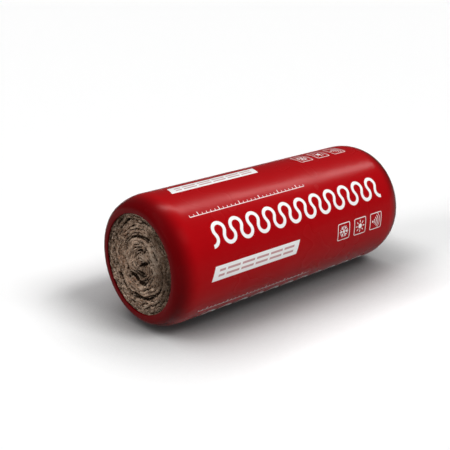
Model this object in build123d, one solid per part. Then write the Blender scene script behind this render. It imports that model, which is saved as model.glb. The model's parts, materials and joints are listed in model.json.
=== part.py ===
"""A roll of mineral wool insulation in its film sleeve, lying on its side along X.

Millimetres, +Z up. The origin is on the floor, under the middle of the roll.
"""
import os
from math import degrees, radians, sin

from build123d import *

# The roll as it is packed.
ROLL_LENGTH = 1220.0
ROLL_RADIUS = 250.0

# The film sleeve: over each end it is shrunk to a shoulder that turns in gently, then tightly.
FILM_THICKNESS = 1.0
OPENING_RADIUS = 192.0
GENTLE_RADIUS = 170.0
GENTLE_TURN = 26.0
TIGHT_RADIUS = 34.0

# Under the film the wool's shoulders are plain flats, and the gathered film there is thicker.
SHOULDER_FLATS = 3

# The lap seam, where the film's two edges are welded along the back of the roll.
SEAM_WIDTH = 46.0
SEAM_STEP = 0.6
SEAM_ANGLE = 24.0
SEAM_END_GAP = 8.0

# The wool that shows in each opening, held back by the film, with its edge sloped.
FACE_DEPTH = 8.0
FACE_EDGE_SLOPE = 9.0

# The crease between one turn of the mat and the next, wound outwards from the heart.
TURN_THICKNESS = 62.0
HEART_RADIUS = 30.0
CREASE_HALF_TURNS = 5
CREASE_WIDTH = 8.0
CREASE_DEPTH = 26.0

# The heart, where the start of the mat is crushed together round a small blind hollow.
HEART_WIDTH = 66.0
HEART_HEIGHT = 28.0
HEART_DEPTH = 46.0
HEART_TILT = -22.0

# The line on which the roll's turned surfaces close is held clear of the crease's start.
CLOSING_ANGLE = 115.0

HALF_LENGTH = ROLL_LENGTH / 2
GENTLE_SINE = sin(radians(GENTLE_TURN))
SHOULDER_LENGTH = GENTLE_RADIUS * GENTLE_SINE + TIGHT_RADIUS * (1 - GENTLE_SINE)
FLANK_LENGTH = ROLL_LENGTH - 2 * SHOULDER_LENGTH


def outer_shoulder():
    """The film's profile over the near end, from the straight flank to the flat end."""
    start = (-FLANK_LENGTH / 2, ROLL_RADIUS)
    gentle = JernArc(start, (-1, 0), GENTLE_RADIUS, GENTLE_TURN)
    tight = JernArc(gentle @ 1, gentle % 1, TIGHT_RADIUS, 90 - GENTLE_TURN)
    return (gentle + tight).wire()


def inner_shoulder():
    """The wool's profile one film's thickness inside it, as straight flats."""
    outer = outer_shoulder()
    points = []
    for i in range(SHOULDER_FLATS + 1):
        place = i / SHOULDER_FLATS
        inward = Vector(0, 0, 1).cross(outer % place)
        points.append((outer @ place) + inward * FILM_THICKNESS)
    return Polyline(points)


def roll_section(shoulder):
    """Half of the roll's lengthwise section, from the axis out, with this profile at both ends."""
    start = shoulder @ 0
    end = shoulder @ 1
    side = Line((0, start.Y), start)
    face = Line(end, (end.X, 0))
    axis = Line((end.X, 0), (0, 0))
    middle = Line((0, 0), (0, start.Y))
    half = make_face([side, *shoulder.edges(), face, axis, middle])
    return half + mirror(half, Plane.YZ)


def end_dish():
    """The space between the film's plane and the wool inside the near opening, as half a section."""
    floor = -HALF_LENGTH + FACE_DEPTH
    outline = Polyline(
        (-HALF_LENGTH, 0),
        (-HALF_LENGTH, OPENING_RADIUS),
        (floor, OPENING_RADIUS - FACE_EDGE_SLOPE),
        (floor, 0),
        close=True,
    )
    return make_face(outline)


def crease_line():
    """The spiral crease as half circles, each wider than the last by half the thickness of a turn."""
    growth = TURN_THICKNESS / 2
    halves = []
    for half in range(CREASE_HALF_TURNS):
        start_angle = 180 * (half % 2)
        centre = growth * (half % 2 - 0.5)
        radius = HEART_RADIUS + growth * (half + 0.5)
        halves.append(CenterArc((centre, 0), radius, start_angle, 180))
    return halves


def end_cutter():
    """What opens the turns at the near end: the crease, and the hollow at the heart."""
    crease = extrude(Plane.YZ * trace(crease_line(), CREASE_WIDTH), CREASE_DEPTH)
    lens = Plane.YZ.rotated((HEART_TILT, 0, 0)) * SlotOverall(HEART_WIDTH, HEART_HEIGHT)
    heart = extrude(lens, HEART_DEPTH)
    return Pos(-HALF_LENGTH, 0, 0) * (crease + heart)


def wool_roll():
    """The wound mat of wool, one turned solid whose turns show on both of its ends."""
    section = roll_section(inner_shoulder())
    section -= [end_dish(), mirror(end_dish(), Plane.YZ)]
    roll = Rot(CLOSING_ANGLE, 0, 0) * revolve(section, Axis.X)
    cutter = end_cutter()
    return roll - cutter - mirror(cutter, Plane.YZ)


def film_sleeve():
    """The film, shrunk over both shoulders of the roll, with a round opening at each end."""
    skin = roll_section(outer_shoulder()) - roll_section(inner_shoulder())
    skin -= Rectangle(ROLL_LENGTH + 2, 2 * OPENING_RADIUS)
    return revolve(skin, Axis.X) + lap_seam()


def lap_seam():
    """The second layer of film along the weld, on the back of the roll, over its straight flank."""
    length = FLANK_LENGTH - 2 * SEAM_END_GAP
    strip = Pos(0, ROLL_RADIUS - FILM_THICKNESS / 2 + SEAM_STEP / 2) * Rectangle(
        length, FILM_THICKNESS + SEAM_STEP
    )
    width_angle = degrees(SEAM_WIDTH / ROLL_RADIUS)
    start_angle = SEAM_ANGLE - width_angle / 2
    return Rot(start_angle, 0, 0) * revolve(strip, Axis.X, revolution_arc=width_angle)


def main():
    os.makedirs("parts", exist_ok=True)
    lift = Pos(0, 0, ROLL_RADIUS)
    export_step(lift * wool_roll(), "parts/wool_roll.step")
    export_step(lift * film_sleeve(), "parts/film_sleeve.step")


main()
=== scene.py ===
import json
from math import asin, atan2, cos, hypot, pi, radians, sin

import bpy
import numpy as np
from bpy.props import FloatProperty, FloatVectorProperty, IntProperty, PointerProperty
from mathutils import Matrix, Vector

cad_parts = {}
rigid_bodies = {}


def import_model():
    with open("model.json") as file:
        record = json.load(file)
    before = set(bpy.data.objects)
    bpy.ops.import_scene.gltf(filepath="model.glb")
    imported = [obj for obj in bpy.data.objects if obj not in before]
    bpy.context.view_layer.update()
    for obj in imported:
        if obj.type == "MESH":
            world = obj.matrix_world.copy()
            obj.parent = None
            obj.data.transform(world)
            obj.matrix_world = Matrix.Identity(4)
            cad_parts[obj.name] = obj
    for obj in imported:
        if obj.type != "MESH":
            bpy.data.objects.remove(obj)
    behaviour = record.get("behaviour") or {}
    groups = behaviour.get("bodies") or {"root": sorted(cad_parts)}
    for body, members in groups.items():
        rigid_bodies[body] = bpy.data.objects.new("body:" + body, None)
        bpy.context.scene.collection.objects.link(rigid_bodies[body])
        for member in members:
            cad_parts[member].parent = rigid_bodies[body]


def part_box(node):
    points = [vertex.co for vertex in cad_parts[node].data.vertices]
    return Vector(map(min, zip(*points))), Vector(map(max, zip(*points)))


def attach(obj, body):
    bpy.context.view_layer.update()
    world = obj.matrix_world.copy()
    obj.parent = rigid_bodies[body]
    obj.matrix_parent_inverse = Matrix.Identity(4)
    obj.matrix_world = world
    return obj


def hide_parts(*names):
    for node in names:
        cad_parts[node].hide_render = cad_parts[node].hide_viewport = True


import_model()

bl_info = {
    "name": "Insulation Roll",
    "version": (1, 0, 0),
    "blender": (4, 5, 0),
    "location": "3D View > Sidebar > Insulation Roll",
    "description": "Dresses a roll of mineral wool in its film and sets it in a plain studio",
    "category": "Object",
}

FILM_LOW, FILM_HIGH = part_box("film_sleeve")
HALF_LENGTH = FILM_HIGH[0]
ROLL_RADIUS = (FILM_HIGH[2] - FILM_LOW[2]) / 2
CENTRE = Vector((0, 0, ROLL_RADIUS))


# What a user would change.

class FilmSettings(bpy.types.PropertyGroup):
    thickness: FloatProperty(
        name="Thickness", description="Thickness of the film", default=0.001, unit="LENGTH"
    )
    opening_radius: FloatProperty(
        name="Opening radius", description="Radius of the opening at each end",
        default=0.1915, unit="LENGTH",
    )
    gentle_radius: FloatProperty(
        name="Gentle radius", description="Radius of the first, gentle turn of the shoulder",
        default=0.170, unit="LENGTH",
    )
    gentle_turn: FloatProperty(
        name="Gentle turn", description="How far the first turn of the shoulder goes",
        default=radians(26), unit="ROTATION",
    )
    tight_radius: FloatProperty(
        name="Tight radius", description="Radius of the second, tight turn of the shoulder",
        default=0.034, unit="LENGTH",
    )
    gather_depth: FloatProperty(
        name="Gather depth", description="How deep the gathers round an opening are",
        default=0.0009, unit="LENGTH",
    )
    lap_angle: FloatProperty(
        name="Lap angle", description="How far the lap lies above the middle of the back",
        default=radians(24), unit="ROTATION",
    )
    lap_width: FloatProperty(
        name="Lap width", description="Width over which the film's two edges are lapped",
        default=0.046, unit="LENGTH",
    )
    slack_depth: FloatProperty(
        name="Slack depth", description="How far the slack film on the flank sinks",
        default=0.0006, unit="LENGTH",
    )
    colour: FloatVectorProperty(
        name="Film colour", description="Colour of the film", subtype="COLOR",
        default=(0.40, 0.003, 0.0055), min=0, max=1,
    )
    ink: FloatVectorProperty(
        name="Ink colour", description="Colour of the print", subtype="COLOR",
        default=(0.93, 0.925, 0.92), min=0, max=1,
    )


class WoolSettings(bpy.types.PropertyGroup):
    turn_thickness: FloatProperty(
        name="Turn thickness", description="Thickness of the mat, from one turn to the next",
        default=0.062, unit="LENGTH",
    )
    heart_radius: FloatProperty(
        name="Heart radius", description="Radius at which the mat starts to wind",
        default=0.030, unit="LENGTH",
    )
    face_depth: FloatProperty(
        name="Face depth", description="How far the wool stands back from the film's end",
        default=0.008, unit="LENGTH",
    )
    face_cells: IntProperty(
        name="Face cells", description="Cells across each end of the wool", default=204
    )
    pale: FloatVectorProperty(
        name="Pale wool", description="Colour of the palest fluff", subtype="COLOR",
        default=(0.64, 0.45, 0.325), min=0, max=1,
    )
    brown: FloatVectorProperty(
        name="Brown wool", description="Colour of most of the wool", subtype="COLOR",
        default=(0.340, 0.208, 0.135), min=0, max=1,
    )
    # Painted shade, deep in the creases and hollows of the wool.
    crease_shade: FloatVectorProperty(
        name="Dark wool", description="Colour deep in the creases", subtype="COLOR",
        default=(0.020, 0.012, 0.008), min=0, max=1,
    )
    loose_fibres: IntProperty(
        name="Loose fibres", description="Loose fibres on each end", default=1100
    )


class StageSettings(bpy.types.PropertyGroup):
    lens: FloatProperty(
        name="Lens", description="The camera's focal length, in millimetres", default=71.98
    )
    strip_power: FloatProperty(
        name="Strip light", description="Power of the strip over the roll", default=36
    )
    front_light: FloatProperty(
        name="Front light", description="Strength of the soft light from the front", default=2.48
    )
    side_light: FloatProperty(
        name="Side light", description="Strength of the soft light from the near end", default=1.60
    )
    top_light: FloatProperty(
        name="Top light", description="Strength of the soft light from above", default=0.77
    )
    ambient: FloatProperty(
        name="Ambient", description="Strength of the light from all round", default=0.06
    )


class RollSettings(bpy.types.PropertyGroup):
    film: PointerProperty(type=FilmSettings)
    wool: PointerProperty(type=WoolSettings)
    stage: PointerProperty(type=StageSettings)


# Modelling by hand.

def deselect_all():
    for item in bpy.context.view_layer.objects:
        item.select_set(False)


def make_active(item):
    deselect_all()
    item.select_set(True)
    bpy.context.view_layer.objects.active = item


def settle(item, name):
    """Name a finished object, and put its place into its mesh."""
    make_active(item)
    bpy.ops.object.transform_apply(location=True, rotation=True, scale=True)
    item.name = name
    item.data.name = name
    return item


def add_grid(along, across, size=2):
    deselect_all()
    bpy.ops.mesh.primitive_grid_add(x_subdivisions=along, y_subdivisions=across, size=size)
    return bpy.context.object


def face_outwards(item, merge=0.0):
    """Turn all faces outwards, once points that lie closer than this are merged."""
    make_active(item)
    bpy.ops.object.mode_set(mode="EDIT")
    bpy.ops.mesh.select_all(action="SELECT")
    if merge:
        bpy.ops.mesh.remove_doubles(threshold=merge)
    bpy.ops.mesh.normals_make_consistent(inside=False)
    bpy.ops.object.mode_set(mode="OBJECT")


def turned(points, steps, name):
    """A surface turned about the roll's axis, from a line extruded through these points."""
    deselect_all()
    bpy.ops.mesh.primitive_plane_add(size=0.01)
    bpy.ops.object.mode_set(mode="EDIT")
    bpy.ops.mesh.select_mode(type="VERT")
    bpy.ops.mesh.select_all(action="SELECT")
    bpy.ops.mesh.merge(type="CENTER")
    bpy.ops.transform.translate(value=points[0])
    for before, after in zip(points, points[1:]):
        step = Vector(after) - Vector(before)
        bpy.ops.mesh.extrude_region_move(TRANSFORM_OT_translate={"value": step})
    bpy.ops.mesh.select_all(action="SELECT")
    bpy.ops.mesh.spin(steps=steps, angle=2 * pi, center=CENTRE, axis=(1, 0, 0))
    bpy.ops.object.mode_set(mode="OBJECT")
    face_outwards(bpy.context.object, merge=0.00002)
    return settle(bpy.context.object, name)


def read_points(item):
    points = np.empty(len(item.data.vertices) * 3)
    item.data.vertices.foreach_get("co", points)
    return points.reshape(-1, 3)


def write_points(item, points):
    item.data.vertices.foreach_set("co", np.ascontiguousarray(points).ravel())
    item.data.update()


def thicken(item, thickness):
    """Give a sheet its thickness, inwards."""
    make_active(item)
    solid = item.modifiers.new("Thickness", "SOLIDIFY")
    solid.thickness = thickness
    solid.offset = -1
    bpy.ops.object.modifier_apply(modifier=solid.name)


def join(items, name):
    deselect_all()
    for item in items:
        item.select_set(True)
    bpy.context.view_layer.objects.active = items[0]
    bpy.ops.object.join()
    return settle(bpy.context.object, name)


def smooth(item, angle=radians(50)):
    make_active(item)
    bpy.ops.object.shade_smooth_by_angle(angle=angle)


def give_finish(item, material):
    item.data.materials.clear()
    item.data.materials.append(material)


# The one map that each piece's finish can be printed on.

MAP_NAME = "OFBake"


def face_corners(mesh):
    """The vertex and the face that each corner of the mesh belongs to."""
    vertex = np.empty(len(mesh.loops), np.int64)
    mesh.loops.foreach_get("vertex_index", vertex)
    sizes = np.empty(len(mesh.polygons), np.int64)
    mesh.polygons.foreach_get("loop_total", sizes)
    return vertex, np.repeat(np.arange(len(sizes)), sizes)


def write_map(mesh, u, v):
    """Lay the mesh's corners out at these places, on its only map."""
    while mesh.uv_layers:
        mesh.uv_layers.remove(mesh.uv_layers[0])
    places = np.column_stack((u, v)).astype(np.float32)
    mesh.uv_layers.new(name=MAP_NAME).data.foreach_set("uv", places.ravel())


# Unevenness, the same on every run.

def lattice(i, j, seed):
    """A fixed random number from 0 to 1 at each whole point."""
    n = (i * 374761393 + j * 668265263 + seed * 1442695041) & 0xFFFFFFFF
    n = ((n ^ (n >> 13)) * 1274126177) & 0xFFFFFFFF
    return ((n ^ (n >> 16)) & 0xFFFF) / 65535.0


def uneven(x, y, seed):
    """Smooth unevenness from about -1 to 1, with lumps one unit wide."""
    x, y = np.broadcast_arrays(np.asarray(x, float), np.asarray(y, float))
    i = np.floor(x).astype(np.int64)
    j = np.floor(y).astype(np.int64)
    fx = x - i
    fy = y - j
    u = fx * fx * fx * (fx * (fx * 6 - 15) + 10)
    v = fy * fy * fy * (fy * (fy * 6 - 15) + 10)

    def corner(di, dj):
        turn = 2 * pi * lattice(i + di, j + dj, seed)
        return np.cos(turn) * (fx - di) + np.sin(turn) * (fy - dj)

    near = corner(0, 0) * (1 - u) + corner(1, 0) * u
    far = corner(0, 1) * (1 - u) + corner(1, 1) * u
    return 1.6 * (near * (1 - v) + far * v)


def rough(x, y, seed, levels=3):
    """Unevenness with smaller lumps on its lumps."""
    total = 0
    for level in range(levels):
        scale = 2.03 ** level
        lumps = uneven(x * scale + 17.3 * level, y * scale - 9.1 * level, seed + level)
        total = total + lumps / scale
    return total


def ease(value, low, high):
    t = np.clip((value - low) / (high - low), 0, 1)
    return t * t * (3 - 2 * t)


# The film.

# How finely the film is drawn: over its two turns, along its flank and round the roll.
GENTLE_STEPS = 12
TIGHT_STEPS = 14
FLANK_STOPS = 53
ROUND_STEPS = 256

# How its edge curls in: distance back from the roll's end, and outwards from the opening.
EDGE_CURL = ((0.0, 0.0062), (0.0001, 0.0032), (0.0008, 0.0011), (0.0022, 0.0), (0.0042, -0.0004))

# The lap ends short of the shoulders, and its layer is thinner than the sleeve's.
LAP_END_GAP = 0.006
LAP_THICKNESS = 0.0007

# On the map the outside starts above a strip, which holds the inside at a smaller scale.
OUTSIDE_START = 0.09
OUTSIDE_HEIGHT = 0.905
INSIDE_START = 0.005
INSIDE_SCALE = 0.08


def shoulder_line(film):
    """(x, radius) along the film over the far end, from its flank to its edge in the opening."""
    turn_sine = sin(film.gentle_turn)
    start = HALF_LENGTH - film.gentle_radius * turn_sine - film.tight_radius * (1 - turn_sine)
    line = []
    for i in range(GENTLE_STEPS):
        turn = film.gentle_turn * i / GENTLE_STEPS
        line.append((
            start + film.gentle_radius * sin(turn),
            ROLL_RADIUS - film.gentle_radius * (1 - cos(turn)),
        ))
    # The tight turn goes on from there, about a middle of its own.
    x = HALF_LENGTH - film.tight_radius
    radius = ROLL_RADIUS - film.gentle_radius * (1 - cos(film.gentle_turn))
    radius -= film.tight_radius * cos(film.gentle_turn)
    for i in range(TIGHT_STEPS + 1):
        turn = film.gentle_turn + (pi / 2 - film.gentle_turn) * i / TIGHT_STEPS
        line.append((x + film.tight_radius * sin(turn), radius + film.tight_radius * cos(turn)))
    for back, outwards in EDGE_CURL:
        line.append((HALF_LENGTH - back, film.opening_radius + outwards))
    return line


def film_line(film):
    """The film's whole profile, as points above the axis, from one opening to the other."""
    half = shoulder_line(film)
    flank = np.linspace(-half[0][0], half[0][0], FLANK_STOPS)
    line = [(-x, r) for x, r in reversed(half)]
    line += [(x, ROLL_RADIUS) for x in flank[1:-1]]
    line += half
    return [(x, 0, ROLL_RADIUS + r) for x, r in line]


def move_out(points, lift):
    """Move points straight out from the roll's axis."""
    y = points[:, 1]
    z = points[:, 2] - ROLL_RADIUS
    grow = 1 + lift / np.hypot(y, z)
    return np.column_stack((points[:, 0], y * grow, z * grow + ROLL_RADIUS))


def slacken(points, film):
    """Sink the film between the places that hold it: gathers at the ends, slack on the flank."""
    x = points[:, 0]
    angle = np.arctan2(points[:, 2] - ROLL_RADIUS, points[:, 1])
    round_y = np.cos(angle)
    round_z = np.sin(angle)
    inwards = HALF_LENGTH - np.abs(x)
    # Gathers run from the opening up over the shoulder, unevenly spaced, and die out on the flank.
    side = np.where(x > 0, 40.0, 0.0)
    sway = 1.6 * uneven(round_y * 1.7 + side, round_z * 1.7, 5)
    gather = 0.55 * np.sin(angle * 31 + 3 * sway) + 0.45 * np.sin(angle * 53 + 5 * sway + 1)
    patch = 0.35 + 0.65 * ease(uneven(round_y * 1.9 - side, round_z * 1.9, 11), -0.4, 0.5)
    near_end = 1 - ease(inwards, 0.0, 0.10)
    sink = film.gather_depth * near_end ** 2 * patch * (0.5 + 0.5 * gather)
    # Long shallow hollows on the flank, and slanting pulls, which die out where the angle jumps.
    flank = ease(inwards, 0.05, 0.16)
    hollows = ease(uneven(x / 0.21, 2.6 * round_y + 1.7 * round_z, 21), -1.0, 1.0)
    pulls = ease(uneven(x / 0.30 + 2.1 * round_z, 5.0 * angle / pi, 31), -0.6, 1.0)
    pulls *= 1 - ease(np.abs(angle), 2.6, 3.0)
    sink += film.slack_depth * flank * (0.6 * hollows + 0.4 * pulls)
    return move_out(points, -sink)


def lap_seam(film):
    """The film's second edge, lapped over the first and welded along the back of the roll."""
    half = shoulder_line(film)[0][0] - LAP_END_GAP
    strip = add_grid(104, 10)
    points = read_points(strip)
    along = points[:, 0] * half
    across = points[:, 1]
    wander = 0.0008 * uneven(along / 0.12, across, 71)
    angle = film.lap_angle + (across * film.lap_width / 2 + wander) / ROLL_RADIUS
    sheet = np.column_stack((
        along, ROLL_RADIUS * np.cos(angle), ROLL_RADIUS * np.sin(angle) + ROLL_RADIUS
    ))
    # The free edge stands off a little more than the rest.
    free = ease(across, 0.5, 1.0) * (1 + uneven(along / 0.05, 0.5, 61))
    sheet = move_out(slacken(sheet, film), LAP_THICKNESS + 0.0003 * free)
    write_points(strip, sheet)
    face_outwards(strip)
    thicken(strip, LAP_THICKNESS)
    return strip


def along_film(points, film):
    """How far along the film's profile each point is, as a fraction from the near edge."""
    half = shoulder_line(film)
    # The mark grows all along the profile, also where the film runs straight in to the opening.
    mark = np.array([x + 6 * (ROLL_RADIUS - r) for x, r in half])
    step = [hypot(b[0] - a[0], b[1] - a[1]) for a, b in zip(half, half[1:])]
    reach = half[0][0] + np.concatenate(([0], np.cumsum(step)))
    mark = np.concatenate(([0], mark))
    reach = np.concatenate(([0], reach))
    radius = np.hypot(points[:, 1], points[:, 2] - ROLL_RADIUS)
    here = np.abs(points[:, 0]) + 6 * (ROLL_RADIUS - radius)
    out = np.interp(here, mark, reach) / reach[-1]
    return 0.5 + 0.5 * np.sign(points[:, 0]) * out


def around_roll(points):
    """The place round the roll as a fraction, cut along the underside."""
    angle = np.arctan2(points[:, 1], points[:, 2] - ROLL_RADIUS)
    return 0.5 + angle / (2 * pi)


def lay_out_film(item, film):
    """Map a layer of film: across the map round the roll, and up it along the profile."""
    mesh = item.data
    points = read_points(item)
    vertex, face = face_corners(mesh)
    u = around_roll(points)[vertex]
    v = OUTSIDE_START + OUTSIDE_HEIGHT * along_film(points, film)[vertex]
    # A face that the cut would part is kept whole, on the side that it lies on.
    high = np.zeros(len(mesh.polygons))
    np.maximum.at(high, face, u)
    low = np.ones(len(high))
    np.minimum.at(low, face, u)
    off_cut = np.where((u > 0.002) & (u < 0.998), u, 0.0)
    crosses = (high - low > 0.5)[face]
    right = (np.bincount(face, off_cut, len(high)) > 0.5)[face]
    u = np.where(crosses & right & (u < 0.5), u + 1, u)
    u = np.where(crosses & ~right & (u > 0.5), u - 1, u)
    write_map(mesh, 0.004 + 0.992 * u, v)


def lay_out_inside(item, outside):
    """Move the inner wall, whose corners come after as many outer ones, to its own strip."""
    layer = item.data.uv_layers[MAP_NAME]
    places = np.empty(len(layer.data) * 2, np.float32)
    layer.data.foreach_get("uv", places)
    inner = slice(outside * 2 + 1, outside * 4, 2)
    places[inner] = INSIDE_START + (places[inner] - OUTSIDE_START) * INSIDE_SCALE
    layer.data.foreach_set("uv", places)


class INSULATION_OT_film(bpy.types.Operator):
    """Shrink the printed film round the roll, with an opening at each end"""

    bl_idname = "insulation_roll.film"
    bl_label = "Wrap Film Sleeve"

    def execute(self, context):
        film = context.scene.insulation_roll.film
        sleeve = turned(film_line(film), ROUND_STEPS, "film")
        lay_out_film(sleeve, film)
        write_points(sleeve, slacken(read_points(sleeve), film))
        outside = len(sleeve.data.loops)
        thicken(sleeve, film.thickness)
        lay_out_inside(sleeve, outside)
        seam = lap_seam(film)
        lay_out_film(seam, film)
        sleeve = join([sleeve, seam], "film")
        smooth(sleeve)
        give_finish(sleeve, film_material(film))
        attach(sleeve, "root")
        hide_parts("film_sleeve")
        return {"FINISHED"}


# The wool, whose ends are worked in millimetres.

# Each end is worked out to this radius, under the film, where it lies about this deep.
END_RADIUS = 198.0
RIM_DEPTH = 5.5

# From the first to the second of these radii, the crushed heart gives way to wound turns.
HEART_EDGE = (22, 46)

# The layers inside the mat, coarse then fine: how many to a turn, how far they sway and over what
# length, the width and depth of the creases between them, and a key of their own.
MAT_LAYERS = ((4.6, 0.45, 66, 2.9, 10.5, 17), (10.5, 0.55, 30, 1.3, 4.2, 23))

# Hollows in and round the crushed heart, and knobs where the depth is less than 0: the middle, the
# half sizes, the tilt in degrees and the depth.
HOLLOWS = (
    ((12, -44), (46, 17), -6, 15), ((-2, 60), (15, 9), 35, 15), ((-27, 57), (16, 7), -48, 14),
    ((-16, 2), (30, 8), -24, 15), ((-64, 29), (9, 7), 0, 11), ((-69, -15), (10, 6), 20, 11),
    ((-8, -160), (4, 18), -8, 13), ((-14, 29), (17, 15), 0, -7), ((105, -25), (9, 7), 0, -5),
    ((58, 22), (20, 10), 50, 5), ((-30, -84), (22, 6), 20, 6),
)

# Patches of colour on each end: pale fluff, scorched binder and painted shade, by middle and half
# sizes.
NEAR_PATCHES = {
    "fluff": [((-84, 38), (34, 48)), ((-12, 24), (20, 16))],
    "scorch": [((124, -10), (26, 20)), ((62, -78), (26, 14)), ((-10, -128), (40, 12))],
    "shade": [((-150, -15), (66, 135)), ((-112, 118), (60, 52)), ((-110, -176), (60, 20)),
              ((120, 150), (60, 26)), ((10, -50), (34, 16))],
}
FAR_PATCHES = {
    "fluff": [((70, 60), (40, 34)), ((-90, -60), (34, 26))],
    "scorch": [((-118, 40), (28, 18)), ((20, -132), (36, 16))],
    "shade": [((150, -90), (34, 80)), ((-40, 178), (90, 24))],
}

# Where the wool runs on under the film, to the middle of the roll: distance from it and radius.
HIDDEN_STOPS = ((601.5, 204.0), (586.0, 230.0), (548.0, 241.5), (505.0, 245.5), (0.0, 245.5))

# The map is this many metres wide for the open ends, whose middles lie at this height on it.
ENDS_SCALE = 0.81
ENDS_HEIGHT = 0.745

# What sets the two ends apart in their unevenness.
NEAR_SEED = 100
FAR_SEED = 300


def stray(y, z, seed):
    """How far the mat strays from a true spiral."""
    return 6.5 * rough(y / 74, z / 74, seed, 2) + 2.4 * rough(y / 21, z / 21, seed + 2, 2)


def wound_place(y, z, wool, seed):
    """Where a point of the end lies in the wound mat.

    Gives its distance along the mat, across its thickness, and the number of its turn.
    """
    stray_y = stray(y, z, seed + 3)
    stray_z = stray(y, z, seed + 7)
    y = y + stray_y
    z = z + stray_z
    pitch = wool.turn_thickness * 1000
    heart = wool.heart_radius * 1000
    angle = np.arctan2(z, y) % (2 * pi)
    turns = (np.hypot(y, z) - heart) / pitch - angle / (2 * pi)
    turn = np.floor(turns)
    total = angle + 2 * pi * turn
    along = heart * total + pitch * total * total / (4 * pi)
    return along, (turns - turn) * pitch, turn


def open_crease(y, z, gap, along, turn, seed):
    """The crease between turns, which opens and closes along the mat."""
    angle = np.arctan2(z, y)
    radius = np.hypot(y, z)
    opening = ease(uneven(along / 150, 0.7, seed + 13), -0.35, 0.45)
    # It gapes below the heart, and above it over the inner turns.
    below = np.exp(-(angle + 1.35) ** 4)
    above = np.exp(-((angle - 1.95) / 0.75) ** 4) * (1 - ease(radius, 128, 150))
    opening = np.maximum(opening, np.maximum(1.2 * below, 0.75 * above))
    ragged = 1.3 * uneven(along / 7, turn, seed + 14) + 1.1 * uneven(y / 3.1, z / 3.1, seed + 15)
    width = 2.4 + 4.2 * opening
    depth = (3 + 15 * opening) * np.exp(-(np.maximum(gap + ragged, 0) / width) ** 2)
    return depth * ease(radius, *HEART_EDGE)


def thin_layers(along, across, turn, pitch, seed):
    """The broken creases between the thinner layers inside the mat."""
    depth = 0
    for count, sway, reach, width, deep, key in MAT_LAYERS:
        layers = across / pitch * count + sway * rough(along / reach, turn * 3.7, seed + key, 3)
        nearest = np.round(layers)
        away = np.abs(layers - nearest) * pitch / count
        broken = uneven(along / reach * 1.4, nearest * 5.3 + turn, seed + key + 2)
        depth = depth + deep * ease(broken, -0.55, 0.35) * np.exp(-(away / width) ** 2)
    return depth


def matted(y, z, along, across, turn, seed):
    """Streaks of fibre along the mat, the tufts that they are matted into, and torn-out pits."""
    depth = -1.7 * uneven(along / 12, across / 3.0 + turn * 7, seed + 31)
    depth -= 1.2 * uneven(along / 5.0, across / 2.1 + turn * 5, seed + 37)
    depth -= 2.6 * rough(y / 27, z / 27, seed + 41, 2)
    tufts = np.abs(uneven(along / 13, across / 7.5 + turn * 3, seed + 51))
    tufts += 0.55 * np.abs(uneven(y / 4.9, z / 4.9, seed + 53))
    depth += 3.6 - 6.0 * tufts
    depth += 7.0 * ease(uneven(along / 8, across / 5 + turn * 11, seed + 47), 0.42, 0.85)
    return depth


def hollowed(y, z, seed):
    """The soft-edged hollows and knobs of the crushed heart."""
    wander_y = y + 3.5 * uneven(y / 9, z / 9, seed + 57)
    wander_z = z + 3.5 * uneven(y / 9, z / 9, seed + 59)
    depth = 0
    for middle, size, tilt, deep in HOLLOWS:
        dy = wander_y - middle[0]
        dz = wander_z - middle[1]
        tilt = radians(tilt)
        u = (dy * cos(tilt) + dz * sin(tilt)) / size[0]
        v = (dz * cos(tilt) - dy * sin(tilt)) / size[1]
        depth = depth + deep * np.exp(-(u * u + v * v) ** 1.3)
    return depth


def wool_depth(y, z, wool, seed):
    """How deep the wool lies below the film's end, and where that is in the mat."""
    along, across, turn = wound_place(y, z, wool, seed)
    pitch = wool.turn_thickness * 1000
    radius = np.hypot(y, z)
    gap = np.minimum(across, pitch - across)
    swell = 3.4 * (1 - (2 * across / pitch - 1) ** 2) * ease(radius, *HEART_EDGE)
    depth = wool.face_depth * 1000 + 2.4 - swell
    depth = depth + open_crease(y, z, gap, along, turn, seed)
    depth = depth + thin_layers(along, across, turn, pitch, seed)
    depth = depth + matted(y, z, along, across, turn, seed)
    depth = depth + hollowed(y, z, seed)
    # High tufts are pressed down, and the film holds the edge back.
    depth = np.maximum(depth, 2.6 + 0.35 * depth * (depth < 2.6))
    edge = ease(radius, 176, 196)
    depth = depth * (1 - edge) + np.clip(depth * 0.6 + 1.0, 4.0, 11.0) * edge
    return depth, along, across, turn


def patch_strength(y, z, spots):
    """How strong the soft patches of one colour are at each point."""
    total = 0
    for middle, size in spots:
        u = (y - middle[0]) / size[0] + 0.25 * uneven(y / 18, z / 18, 401)
        v = (z - middle[1]) / size[1] + 0.25 * uneven(y / 18, z / 18, 402)
        total = np.maximum(total, np.exp(-(u * u + v * v) ** 1.5))
    return total


def evened(square, values, reach):
    """The numbers at a square grid's points, each evened out with those around it."""
    order = np.lexsort((square[:, 0], square[:, 1]))
    size = int(round(len(order) ** 0.5))
    grid = values[order].reshape(size, size)
    # Twice along the rows and twice along the columns, which take turns.
    for _ in range(4):
        padded = np.pad(grid, ((reach, reach), (0, 0)), mode="edge")
        steps = [padded[step:step + size] for step in range(2 * reach + 1)]
        grid = (sum(steps) / len(steps)).T
    result = np.empty(len(order))
    result[order] = grid.ravel()
    return result


def drawn_round(square, radius):
    """Where a square grid's points come to lie when its rings are drawn out to circles."""
    a, b = np.where(np.abs(square[:, :2]) < 1e-9, 1e-9, square[:, :2]).T
    wide = np.abs(a) > np.abs(b)
    reach = radius * np.where(wide, a, b)
    turn = np.where(wide, pi / 4 * b / a, pi / 2 - pi / 4 * a / b)
    return reach * np.cos(turn), reach * np.sin(turn)


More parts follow.
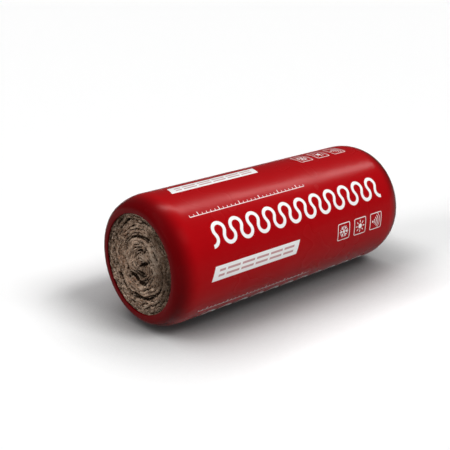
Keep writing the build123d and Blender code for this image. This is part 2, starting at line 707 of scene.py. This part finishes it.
def put_values(item, name, values):
    """Keep a number, or three, at each point for the finish to read."""
    kind, part = ("FLOAT", "value") if values.ndim == 1 else ("FLOAT_VECTOR", "vector")
    layer = item.data.attributes.new(name, kind, "POINT")
    layer.data.foreach_set(part, values.astype(np.float32).ravel())


def close_behind(face, side):
    """Draw the rim of an end back under the film, to the middle of the roll."""
    make_active(face)
    bpy.ops.object.mode_set(mode="EDIT")
    bpy.ops.mesh.select_mode(type="EDGE")
    bpy.ops.mesh.select_all(action="DESELECT")
    bpy.ops.mesh.select_non_manifold()
    radius = END_RADIUS
    x = HALF_LENGTH * 1000 - RIM_DEPTH
    for stop, wide in HIDDEN_STOPS:
        step = (side * (stop - x) / 1000, 0, 0)
        bpy.ops.mesh.extrude_region_move(TRANSFORM_OT_translate={"value": step})
        grow = wide / radius
        bpy.ops.transform.resize(value=(1, grow, grow), center_override=CENTRE)
        radius = wide
        x = stop
    bpy.ops.transform.resize(value=(0, 1, 1), center_override=CENTRE)
    bpy.ops.object.mode_set(mode="OBJECT")
    face_outwards(face)


def wool_face(wool, side, seed, patches):
    """One end of the wound wool: a grid drawn out to a round, then lifted and hollowed."""
    face = add_grid(wool.face_cells, wool.face_cells)
    square = read_points(face)
    y, z = drawn_round(square, END_RADIUS)
    depth, along, across, turn = wool_depth(y, z, wool, seed)
    write_points(face, np.column_stack((
        side * (HALF_LENGTH - depth / 1000), y / 1000, z / 1000 + ROLL_RADIUS
    )))
    # Shade is painted on what lies deeper than its surroundings, or deep below the end.
    sunk = (depth - evened(square, depth, 4)) / 9.0 + 0.35
    put_values(face, "crease_shading", np.clip(sunk + np.clip((depth - 14) / 18, 0, 0.6), 0, 1))
    for name, spots in patches.items():
        put_values(face, name, patch_strength(y, z, spots))
    put_values(face, "mat_place", np.column_stack((along / 1000, across / 1000, turn)))
    close_behind(face, side)
    return face


def lay_out_wool(roll):
    """Give each open end half of the map's width, and what the film hides a strip below."""
    mesh = roll.data
    points = read_points(roll)
    points[:, 2] -= ROLL_RADIUS
    vertex, face = face_corners(mesh)
    widest = np.zeros(len(mesh.polygons))
    np.maximum.at(widest, face, np.hypot(points[:, 1], points[:, 2])[vertex])
    open_end = (widest * 1000 < END_RADIUS + 0.5)[face]
    x, y, z = points[vertex].T
    end_u = np.where(x > 0, 0.75, 0.25) + y / ENDS_SCALE
    end_v = ENDS_HEIGHT + z / ENDS_SCALE
    hidden_u = 0.5 + 0.48 * np.sin(np.arctan2(y, z) / 2)
    hidden_v = 0.24 + 0.36 * x
    write_map(mesh, np.where(open_end, end_u, hidden_u), np.where(open_end, end_v, hidden_v))


class INSULATION_OT_wool(bpy.types.Operator):
    """Wind the mat of wool, with its turns, creases and crushed heart open at both ends"""

    bl_idname = "insulation_roll.wool"
    bl_label = "Wind Wool"

    def execute(self, context):
        wool = context.scene.insulation_roll.wool
        near = wool_face(wool, -1, NEAR_SEED, NEAR_PATCHES)
        far = wool_face(wool, 1, FAR_SEED, FAR_PATCHES)
        roll = join([near, far], "wool")
        face_outwards(roll, merge=0.00001)
        smooth(roll, radians(80))
        lay_out_wool(roll)
        give_finish(roll, wool_material(wool))
        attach(roll, "root")
        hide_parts("wool_roll")
        return {"FINISHED"}


# The loose fibres, each a strand of three sides. These lie within this radius, in millimetres.

FIBRE_STOPS = 6
FIBRE_POINTS = FIBRE_STOPS * 3
FIBRE_REACH = 190.0


def fibre_lines(wool, side, seed, chance):
    """The bent middle lines of fibres that lie along the mat and lift off it, in millimetres."""
    column = (wool.loose_fibres, 1)
    radius = (FIBRE_REACH - 3) * np.sqrt(chance.random(column))
    angle = 2 * pi * chance.random(column)
    length = 7 + 17 * chance.random(column) ** 1.5
    lean = 0.42 * chance.standard_normal(column) + np.where(chance.random(column) < 0.2, 1.1, 0)
    curl = 0.5 * chance.standard_normal(column)
    lift = 0.5 + 2.2 * chance.random(column) ** 3
    part = np.linspace(-0.5, 0.5, FIBRE_STOPS)
    heading = angle + pi / 2 + lean + curl * part * 2
    y = radius * np.cos(angle) + length * part * np.cos(heading)
    z = radius * np.sin(angle) + length * part * np.sin(heading)
    # None reaches out past the opening, or stands proud of the film's end.
    held = np.minimum(1, FIBRE_REACH / np.hypot(y, z))
    y = y * held
    z = z * held
    depth = wool_depth(y.ravel(), z.ravel(), wool, seed)[0].reshape(y.shape)
    depth = 0.5 * depth + 0.5 * depth.mean(axis=1, keepdims=True)
    depth = np.maximum(depth - lift * (1 - 3.4 * part ** 2) - 0.15, 1.4)
    return np.stack((side * (HALF_LENGTH * 1000 - depth), y, z), axis=2)


def fibre_points(line, side, thick):
    """Three points round each stop of the fibres' lines, in metres."""
    forward = np.gradient(line, axis=1)
    forward /= np.linalg.norm(forward, axis=2, keepdims=True)
    over = np.cross(forward, np.array([side, 0.15, 0.1]))
    over /= np.maximum(np.linalg.norm(over, axis=2, keepdims=True), 1e-6)
    under = np.cross(forward, over)
    rings = [
        line + thick * (over * cos(2 * pi * k / 3) + under * sin(2 * pi * k / 3)) for k in range(3)
    ]
    points = np.stack(rings, axis=2).reshape(-1, 3) / 1000
    points[:, 2] += ROLL_RADIUS
    return points


def fibre_faces(count):
    """The sides of every strand, and its two ends."""
    faces = []
    for first in range(0, count * FIBRE_POINTS, FIBRE_POINTS):
        last = first + FIBRE_POINTS - 1
        for a in range(first, last - 2):
            b = a - 2 if a % 3 == 2 else a + 1
            faces.append((a, a + 3, b + 3, b))
        faces.append((first, first + 1, first + 2))
        faces.append((last, last - 1, last - 2))
    return faces


def fibre_mesh(wool, side, seed, end):
    """The loose fibres of one end, each with a cell of the map to itself."""
    count = wool.loose_fibres
    chance = np.random.default_rng(7 + end)
    line = fibre_lines(wool, side, seed, chance)
    thick = 0.16 + 0.12 * chance.random((count, 1, 1))
    mesh = bpy.data.meshes.new("fibres")
    mesh.from_pydata(fibre_points(line, side, thick).tolist(), [], fibre_faces(count))
    vertex, _ = face_corners(mesh)
    cell = vertex // FIBRE_POINTS + end * count
    row = int(np.ceil((2 * count) ** 0.5))
    u = (cell % row + 0.15 + 0.14 * (vertex % FIBRE_POINTS // 3)) / row
    v = (cell // row + 0.15 + 0.35 * (vertex % 3)) / row
    write_map(mesh, u, v)
    item = bpy.data.objects.new("fibres", mesh)
    bpy.context.scene.collection.objects.link(item)
    face_outwards(item)
    return item


class INSULATION_OT_fibres(bpy.types.Operator):
    """Lay loose fibres over the wool at both ends"""

    bl_idname = "insulation_roll.fibres"
    bl_label = "Lay Loose Fibres"

    def execute(self, context):
        wool = context.scene.insulation_roll.wool
        ends = [fibre_mesh(wool, -1, NEAR_SEED, 0), fibre_mesh(wool, 1, FAR_SEED, 1)]
        fibres = join(ends, "wool_fibres")
        smooth(fibres, radians(180))
        give_finish(fibres, fibre_material(wool))
        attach(fibres, "root")
        return {"FINISHED"}


# Finishes.

def feed(slot, value):
    """Set a node's input to a plain value, or link it to a field or to a node's output."""
    if isinstance(value, Field):
        value = value.socket
    if isinstance(value, bpy.types.NodeSocket):
        slot.id_data.links.new(value, slot)
    else:
        slot.default_value = value


def feed_all(node, **values):
    """Feed a node's inputs, each by its name."""
    for name, value in values.items():
        feed(node.inputs[name.replace("_", " ")], value)


class Field:
    """A number that changes over a surface: the output of a node, with arithmetic on it."""

    def __init__(self, socket):
        self.socket = socket

    def node(self, kind):
        return self.socket.id_data.nodes.new(kind)

    def calc(self, operation, *others, clamp=False):
        node = self.node("ShaderNodeMath")
        node.operation = operation
        node.use_clamp = clamp
        for slot, value in zip(node.inputs, (self, *others)):
            feed(slot, value)
        return Field(node.outputs[0])

    def __add__(self, other):
        return self.calc("ADD", other)

    def __sub__(self, other):
        return self.calc("SUBTRACT", other)

    def __mul__(self, other):
        return self.calc("MULTIPLY", other)

    def __truediv__(self, other):
        return self.calc("DIVIDE", other)

    def __neg__(self):
        return self * -1

    def __abs__(self):
        return self.calc("ABSOLUTE")

    def least(self, other):
        return self.calc("MINIMUM", other)

    def most(self, other):
        return self.calc("MAXIMUM", other)

    def every(self, period):
        """The place within each period, from 0 to the period."""
        return self.calc("FLOORED_MODULO", period)

    def span(self, other):
        """The length of the line across this and another distance at right angles."""
        return (self * self + other * other).calc("SQRT")

    def between(self, low, high, start=0.0, end=1.0):
        """A number that eases from the start to the end as this goes from low to high."""
        node = self.node("ShaderNodeMapRange")
        node.interpolation_type = "SMOOTHSTEP"
        feed_all(node, Value=self, From_Min=low, From_Max=high, To_Min=start, To_Max=end)
        return Field(node.outputs["Result"])


class Finish:
    """A material on a Principled shader, and the nodes that drive it."""

    def __init__(self, name, **shader):
        self.material = bpy.data.materials.new(name)
        self.material.use_nodes = True
        self.tree = self.material.node_tree
        self.shader = self.tree.nodes["Principled BSDF"]
        feed_all(self.shader, **shader)

    def node(self, kind, **settings):
        node = self.tree.nodes.new(kind)
        for name, value in settings.items():
            setattr(node, name, value)
        return node

    def drive(self, **shader):
        feed_all(self.shader, **shader)

    def place(self):
        """The point's own place on the object."""
        return self.node("ShaderNodeTexCoord").outputs["Object"]

    def parts(self, vector):
        """A vector's three parts, as fields."""
        split = self.node("ShaderNodeSeparateXYZ")
        feed(split.inputs[0], vector)
        return [Field(out) for out in split.outputs]

    def vector(self, *values):
        join_up = self.node("ShaderNodeCombineXYZ")
        for slot, value in zip(join_up.inputs, values):
            feed(slot, value)
        return join_up.outputs[0]

    def attribute(self, name, kind="Fac"):
        return Field(self.node("ShaderNodeAttribute", attribute_name=name).outputs[kind])

    def noise(self, where, scale, detail=3.0, roughness=0.55, distortion=0.0):
        node = self.node("ShaderNodeTexNoise")
        feed_all(node, Vector=where, Scale=scale, Detail=detail)
        feed_all(node, Roughness=roughness, Distortion=distortion)
        return Field(node.outputs["Fac"])

    def blend(self, amount, first, second):
        """A colour between two, each a node's output or three numbers."""
        node = self.node("ShaderNodeMix", data_type="RGBA")
        feed(node.inputs[0], amount)
        for slot, colour in ((node.inputs[6], first), (node.inputs[7], second)):
            is_node = isinstance(colour, bpy.types.NodeSocket)
            feed(slot, colour if is_node else (*colour, 1.0))
        return node.outputs[2]

    def bump(self, height, distance, strength=1.0):
        node = self.node("ShaderNodeBump")
        feed_all(node, Height=height, Distance=distance, Strength=strength)
        self.drive(Normal=node.outputs[0])


# The film's finish, and its print.

# Shades of the film beside the colour that a user sets.
CLOUDED_FILM = (0.34, 0.0025, 0.0045)
# The shade painted over the shoulders.
SHOULDER_SHADE_FILM = (0.085, 0.001, 0.002)
LAPPED_FILM = (0.16, 0.001, 0.003)

# How far the lines of weld lie from the middle of the lap, and half of the lap's length.
WELD_PLACE = 0.012
LAP_REACH = 0.512

# The design: how often it goes round, and in degrees where the first one starts and how far below
# its top the middle of each row is.
DESIGNS_ROUND = 4
FIRST_DESIGN = 22
RULER_ROW = 17
LOOPS_ROW = 37
LOWER_ROW = 69

# Where the middles of its parts lie along the roll, and how far the label slants.
RULER_MIDDLE = -0.20
LOOPS_MIDDLE = 0.02
TILE_MIDDLES = (0.235, 0.335, 0.435)
LABEL_MIDDLE = -0.245
LABEL_SLANT = 0.35


def film_material(film):
    finish = Finish(
        "printed_film", Specular_IOR_Level=0.14, Specular_Tint=(1.0, 0.42, 0.40, 1.0)
    )
    where = finish.place()
    x, y, z = finish.parts(where)
    girth = (-y).calc("ARCTAN2", z - ROLL_RADIUS) * ROLL_RADIUS
    # Faint clouding, and the grain of the film, drawn out round the roll.
    cloud = finish.noise(where, 5.0, 2.0)
    grain = finish.noise(finish.vector(x * 140, girth * 18, 0.0), 1.0, 3.0)
    shade = finish.blend(cloud.between(0.3, 0.7, 0.0, 0.22), film.colour, CLOUDED_FILM)
    # Shade is painted over the shoulders, deepening the red there.
    shoulder = abs(x).between(HALF_LENGTH - 0.088, HALF_LENGTH - 0.012)
    shade = finish.blend(shoulder * 0.92, shade, SHOULDER_SHADE_FILM)
    # Two layers of film, and the darker lines of the weld, along the lap.
    lap = abs(girth + (pi / 2 - film.lap_angle) * ROLL_RADIUS)
    weld = abs(lap - WELD_PLACE)
    edge = film.lap_width / 2
    double = lap.between(edge - 0.0015, edge + 0.0005, 0.22, 0.0)
    double = double + weld.between(0.0008, 0.002, 0.3, 0.0)
    double = double * abs(x).between(LAP_REACH - 0.012, LAP_REACH, 1.0, 0.0)
    shade = finish.blend(double, shade, LAPPED_FILM)
    shade = finish.blend(print_ink(x, girth), shade, film.ink)
    finish.drive(Base_Color=shade, Roughness=cloud.between(0.3, 0.75, 0.23, 0.29))
    height = grain * 0.25 + finish.noise(where, 60.0, 2.0) * 0.75
    finish.bump(height - weld.between(0.0008, 0.0022, 0.8, 0.0), 0.0004, 0.25)
    return finish.material


def print_ink(x, girth):
    """Where the film is printed: the same design four times round it."""
    top = radians(FIRST_DESIGN) * ROLL_RADIUS
    down = (girth - top).every(2 * pi * ROLL_RADIUS / DESIGNS_ROUND)
    on_ruler, on_loops, on_lower = [
        -(down - radians(row) * ROLL_RADIUS) for row in (RULER_ROW, LOOPS_ROW, LOWER_ROW)
    ]
    ink = looping_hatch(x - LOOPS_MIDDLE, on_loops).most(ruler(x - RULER_MIDDLE, on_ruler))
    for middle, sign in zip(TILE_MIDDLES, (snowflake, sun, sound)):
        ink = ink.most(tile(x - middle, on_lower, sign))
    slanted = x - LABEL_MIDDLE - on_lower * LABEL_SLANT
    ink = ink.most(stroke(box_edge(slanted, on_lower, 0.215, 0.0275, 0.001)))
    return ink.least(1.0).most(0.0) - label_bars(slanted, on_lower) * 0.62


def box_edge(x, y, wide, high, corner=0.0):
    """Distance from a rounded box, less than 0 inside it."""
    dx = abs(x) - (wide - corner)
    dy = abs(y) - (high - corner)
    outside = dx.most(0.0).span(dy.most(0.0))
    return outside + dx.most(dy).least(0.0) - corner


def line_from(x, y, start, end):
    """Distance from a straight line between two points."""
    dx = end[0] - start[0]
    dy = end[1] - start[1]
    part = ((x - start[0]) * dx + (y - start[1]) * dy) / (dx * dx + dy * dy)
    part = part.calc("ADD", 0.0, clamp=True)
    return (x - start[0] - part * dx).span(y - start[1] - part * dy)


def stroke(distance, width=0.0):
    """Ink within half a width of a line, or inside a shape, with a crisp edge."""
    return (-distance + width / 2) / 0.0009 + 0.5


def looping_hatch(x, y):
    """The looping line that stands for insulation on a builder's drawing, cut off at both ends."""
    return stroke(batting_line(x, y), 0.0140).least(stroke(abs(x) - 0.462))


def batting_line(x, y):
    """Distance from that line: round loops in turn above and below, joined by straight runs."""
    period = 0.0840
    radius = 0.0255
    height = 0.01525
    along = (period / 2, -2 * height)
    reach = hypot(*along) / 2
    lean = atan2(along[1], along[0])
    # The straight run touches both circles, and this is where it touches the upper one.
    swing = lean + (pi / 2 - asin(radius / reach))
    touch = (radius * cos(swing), height + radius * sin(swing))
    x = abs((x + period / 2).every(period) - period / 2)
    below = y.calc("LESS_THAN", 0.0)
    x = x + below * (x * -2 + period / 2)
    y = abs(y)
    side = x * -sin(swing) + (y - height) * cos(swing)
    round_off = abs(x.span(y - height) - radius) + side.calc("LESS_THAN", 0.0) * 10
    straight = line_from(x, y, touch, (period / 4, 0.0))
    return round_off.least(straight)


def ruler(x, y):
    """A thin rule with ticks on it, every fifth of them taller."""
    reach = 0.29
    ink = stroke(box_edge(x, y, reach, 0.0013))
    for apart, half_height, width in ((0.02, 0.0035, 0.0024), (0.10, 0.0065, 0.0030)):
        tick = abs(x.every(apart) - apart / 2).most(abs(y - half_height - 0.0005) - half_height)
        ink = ink.most(stroke(tick.most(abs(x) - reach), width))
    return ink


def label_bars(x, y):
    """Two rows of muted bars across a label."""
    gap = abs((x + 0.0126).every(0.072) - 0.036) - 0.031
    bars = gap.most(abs(abs(y) - 0.0095) - 0.0042).most(abs(x) - 0.19)
    return (bars * -900).calc("ADD", 0.5, clamp=True)


def tile(x, y, sign):
    """A sign in a square outline."""
    return stroke(abs(box_edge(x, y, 0.0345, 0.0345, 0.006)), 0.0034).most(sign(x, y))


def on_arm(x, y, arms):
    """A point's place along and across the nearest of so many arms, alike on both sides."""
    half_turn = pi / arms
    angle = abs((y.calc("ARCTAN2", x) + half_turn).every(2 * half_turn) - half_turn)
    away = x.span(y)
    return away * angle.calc("COSINE"), away * angle.calc("SINE")


def snowflake(x, y):
    """Six arms, each with a pair of barbs."""
    u, v = on_arm(x, y, 6)
    arm = line_from(u, v, (0.0, 0.0), (0.024, 0.0))
    barb = line_from(u, v, (0.013, 0.0), (0.0205, 0.0075))
    return stroke(arm.least(barb), 0.0032)


def sun(x, y):
    """A round sun with eight short rays."""
    u, v = on_arm(x, y, 8)
    ray = line_from(u, v, (0.017, 0.0), (0.0245, 0.0))
    return stroke(x.span(y) - 0.0105).most(stroke(ray, 0.0036))


def sound(x, y):
    """Sound waves spreading to the right from a small source."""
    u = x + 0.019
    away = u.span(y)
    beam = abs(y) - u * 0.95
    waves = abs((away + 0.0035).every(0.0105) - 0.00525).most(beam).most(away - 0.043)
    return stroke(waves, 0.0034).most(stroke(away - 0.0045))


# The wool's finishes.

def wool_material(wool):
    finish = Finish("mineral_wool", Roughness=0.95, Specular_IOR_Level=0.04)
    where = finish.place()
    _, y, z = finish.parts(where)
    crease_shading, fluff, scorch, shade = [
        finish.attribute(name) for name in ("crease_shading", "fluff", "scorch", "shade")
    ]
    along, across, turn = finish.parts(finish.attribute("mat_place", "Vector"))

    def in_mat(scales, detail, roughness):
        """Noise drawn out along the mat, other in each of its turns."""
        place = finish.vector(along * scales[0], across * scales[1], turn * scales[2])
        return finish.noise(place, 1.0, detail, roughness)

    streak = in_mat((24, 170, 3.0), 4.0, 0.6)
    fine = in_mat((150, 900, 5.0), 3.0, 0.6)
    tuft = in_mat((58, 125, 2.0), 3.0, 0.7)
    patch = finish.noise(where, 19.0, 3.0, 0.6)
    fleck = finish.noise(where, 125.0, 4.0, 0.62, 0.6)
    speck = finish.noise(where, 420.0, 2.0, 0.6)
    rust = finish.noise(where, 11.0, 2.0, 0.5)
    # Painted shade that deepens towards the rim, under the film's edge, less over the fluff.
    rim = y.span(z - ROLL_RADIUS).between(0.130, 0.185) * 0.065 - fluff * 0.05
    body = finish.blend(patch.between(0.40, 0.60), wool.brown, wool.pale)
    # Each colour lies over those before it, as thickly as its amount says.
    for amount, colour in (
        (fluff * 0.75, (0.42, 0.345, 0.275)),
        (scorch * 0.65, (0.42, 0.185, 0.095)),
        # Binder left the mat darker between its streaks and in flecks; more dark tufts and flecks
        # to the rim are painted shade.
        (streak.between(0.42, 0.51, 0.85, 0.0), (0.080, 0.044, 0.025)),
        (fine.between(0.36, 0.46, 0.7, 0.0), (0.072, 0.039, 0.022)),
        ((tuft - rim).between(0.395, 0.465, 0.8, 0.0), (0.062, 0.031, 0.016)),
        (tuft.between(0.545, 0.62, 0.0, 0.55), (0.66, 0.53, 0.42)),
        ((fleck + rim).between(0.560, 0.615) * 0.88, (0.048, 0.024, 0.012)),
        # Bright fibre ends, and rusty spots.
        (fine.between(0.54, 0.62, 0.0, 0.8), (0.60, 0.47, 0.37)),
        (speck.between(0.58, 0.68, 0.0, 0.7), (0.68, 0.56, 0.455)),
        (rust.between(0.60, 0.72, 0.0, 0.5), (0.28, 0.125, 0.066)),
        # Painted shade over patches of each end.
        (shade * 0.76, (0.050, 0.028, 0.016)),
        # Painted shade deep in the creases and hollows.
        (crease_shading.between(0.38, 0.74), wool.crease_shade),
    ):
        body = finish.blend(amount, body, colour)
    finish.drive(Base_Color=body)
    finish.bump(streak * 0.5 + fine * 0.5 + fleck * 0.4 + speck * 0.25, 0.004)
    return finish.material


def fibre_material(wool):
    finish = Finish("loose_fibre", Specular_IOR_Level=0.3)
    where = finish.place()
    tone = finish.noise(where, 70.0, 2.0)
    fine = finish.noise(where, 900.0, 2.0)
    shade = finish.blend(tone.between(0.35, 0.65), (0.15, 0.095, 0.062), (0.52, 0.42, 0.33))
    shade = finish.blend(fine.between(0.4, 0.7, 0.0, 0.4), shade, wool.pale)
    finish.drive(Base_Color=shade, Roughness=fine.between(0.3, 0.7, 0.7, 0.9))
    return finish.material


# The studio.

# Where the camera stands, and which way it looks.
CAMERA_PLACE = (-2.4015, -2.4766, 1.4531)
CAMERA_LOOK = (0.6304, 0.7043, -0.3265)

# The strip light over the roll's far half, and on past its end: its middle, size and turn.
STRIP_PLACE = (1.25, 0.06, 2.25)
STRIP_SIZE = (3.1, 0.26)
STRIP_TURN = radians(-16)

# Within this distance, painted shadow on the ground follows how much of the sky the roll shuts
# off.
PAINTED_SHADOW_REACH = 0.36


def floor_material():
    """Pale ground: lit like any surface, and clear white to the camera where no shadow falls or is
    painted.
    """
    finish = Finish("studio_floor", Roughness=0.9)
    tone = finish.noise(finish.place(), 3.0, 2.0)
    pale = finish.blend(tone, (0.33, 0.33, 0.33), (0.35, 0.35, 0.35))
    seen = Field(finish.node("ShaderNodeLightPath").outputs["Is Camera Ray"])
    # Painted shadow: the camera sees the ground darker the more of the sky that what stands near
    # shuts off.
    near = finish.node("ShaderNodeAmbientOcclusion", samples=16)
    feed_all(near, Distance=PAINTED_SHADOW_REACH)
    open_sky = Field(near.outputs["AO"])
    clear = finish.blend(open_sky.calc("POWER", 1.6), (0.0, 0.0, 0.0), (1.0, 1.0, 1.0))
    finish.drive(Base_Color=finish.blend(seen, pale, clear))
    finish.drive(Emission_Color=(1, 1, 1, 1), Emission_Strength=seen * 0.02)
    return finish.material


def lay_floor():
    floor = settle(add_grid(8, 8, size=60), "studio_floor")
    give_finish(floor, floor_material())


def hang_light(kind, name, place, way):
    """A light that shines this way from there."""
    deselect_all()
    bpy.ops.object.light_add(type=kind, location=place)
    lamp = bpy.context.object
    lamp.name = name
    lamp.rotation_euler = Vector(way).to_track_quat("-Z", "Y").to_euler()
    return lamp


def strip_light(name, power):
    """A strip straight overhead, which shows only as a line of gloss."""
    lamp = hang_light("AREA", name, STRIP_PLACE, (0, 0, -1))
    lamp.data.shape = "RECTANGLE"
    lamp.data.size, lamp.data.size_y = STRIP_SIZE
    lamp.data.energy = power
    lamp.rotation_euler.z += STRIP_TURN
    lamp.visible_diffuse = False


def far_softbox(name, towards, spread, strength):
    """A soft light from so far off that it falls alike everywhere, and adds no gloss."""
    lamp = hang_light("SUN", name, Vector(towards) * 6, -Vector(towards))
    lamp.data.energy = strength
    lamp.data.angle = spread
    lamp.visible_glossy = False


def fill_air(scene, ambient):
    """Surround the scene with faint light, and with clear white where the camera looks past."""
    scene.world = bpy.data.worlds.new("studio_air")
    scene.world.use_nodes = True
    nodes = scene.world.node_tree.nodes
    seen = Field(nodes.new("ShaderNodeLightPath").outputs["Is Camera Ray"])
    strength = seen * (1.0 - ambient) + ambient
    feed_all(nodes["Background"], Color=(1, 1, 1, 1), Strength=strength)


def set_camera(scene, lens):
    deselect_all()
    bpy.ops.object.camera_add(location=CAMERA_PLACE)
    camera = bpy.context.object
    camera.name = "photo_camera"
    camera.data.lens = lens
    camera.rotation_euler = Vector(CAMERA_LOOK).to_track_quat("-Z", "Y").to_euler()
    scene.camera = camera


class INSULATION_OT_stage(bpy.types.Operator):
    """Lay a plain pale floor, hang the soft lights and set the camera"""

    bl_idname = "insulation_roll.stage"
    bl_label = "Set Stage"

    def execute(self, context):
        scene = context.scene
        stage = scene.insulation_roll.stage
        lay_floor()
        strip_light("strip_over_roll", stage.strip_power)
        far_softbox("front_softbox", (0.20, -0.66, 0.72), radians(26), stage.front_light)
        far_softbox("side_softbox", (-0.93, 0.13, 0.36), radians(26), stage.side_light)
        far_softbox("top_softbox", (-0.45, 0.13, 0.88), radians(30), stage.top_light)
        fill_air(scene, stage.ambient)
        set_camera(scene, stage.lens)
        scene.view_settings.view_transform = "Standard"
        return {"FINISHED"}


class VIEW3D_PT_insulation_roll(bpy.types.Panel):
    """The roll's steps, in the order in which they are made"""

    bl_label = "Insulation Roll"
    bl_idname = "VIEW3D_PT_insulation_roll"
    bl_space_type = "VIEW_3D"
    bl_region_type = "UI"
    bl_category = "Insulation Roll"

    def draw(self, context):
        for step in STEPS:
            self.layout.operator(step.bl_idname)
        settings = context.scene.insulation_roll
        for group in (settings.film, settings.wool, settings.stage):
            box = self.layout.box()
            for name in group.bl_rna.properties.keys():
                if name not in ("rna_type", "name"):
                    box.prop(group, name)


STEPS = (INSULATION_OT_stage, INSULATION_OT_wool, INSULATION_OT_fibres, INSULATION_OT_film)
CLASSES = (
    FilmSettings, WoolSettings, StageSettings, RollSettings, *STEPS, VIEW3D_PT_insulation_roll
)


def register():
    for item in CLASSES:
        bpy.utils.register_class(item)
    bpy.types.Scene.insulation_roll = PointerProperty(type=RollSettings)


def unregister():
    del bpy.types.Scene.insulation_roll
    for item in reversed(CLASSES):
        bpy.utils.unregister_class(item)


def main():
    register()
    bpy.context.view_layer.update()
    bpy.ops.insulation_roll.stage()
    bpy.ops.insulation_roll.wool()
    bpy.ops.insulation_roll.fibres()
    bpy.ops.insulation_roll.film()


if __name__ == "__main__":
    main()
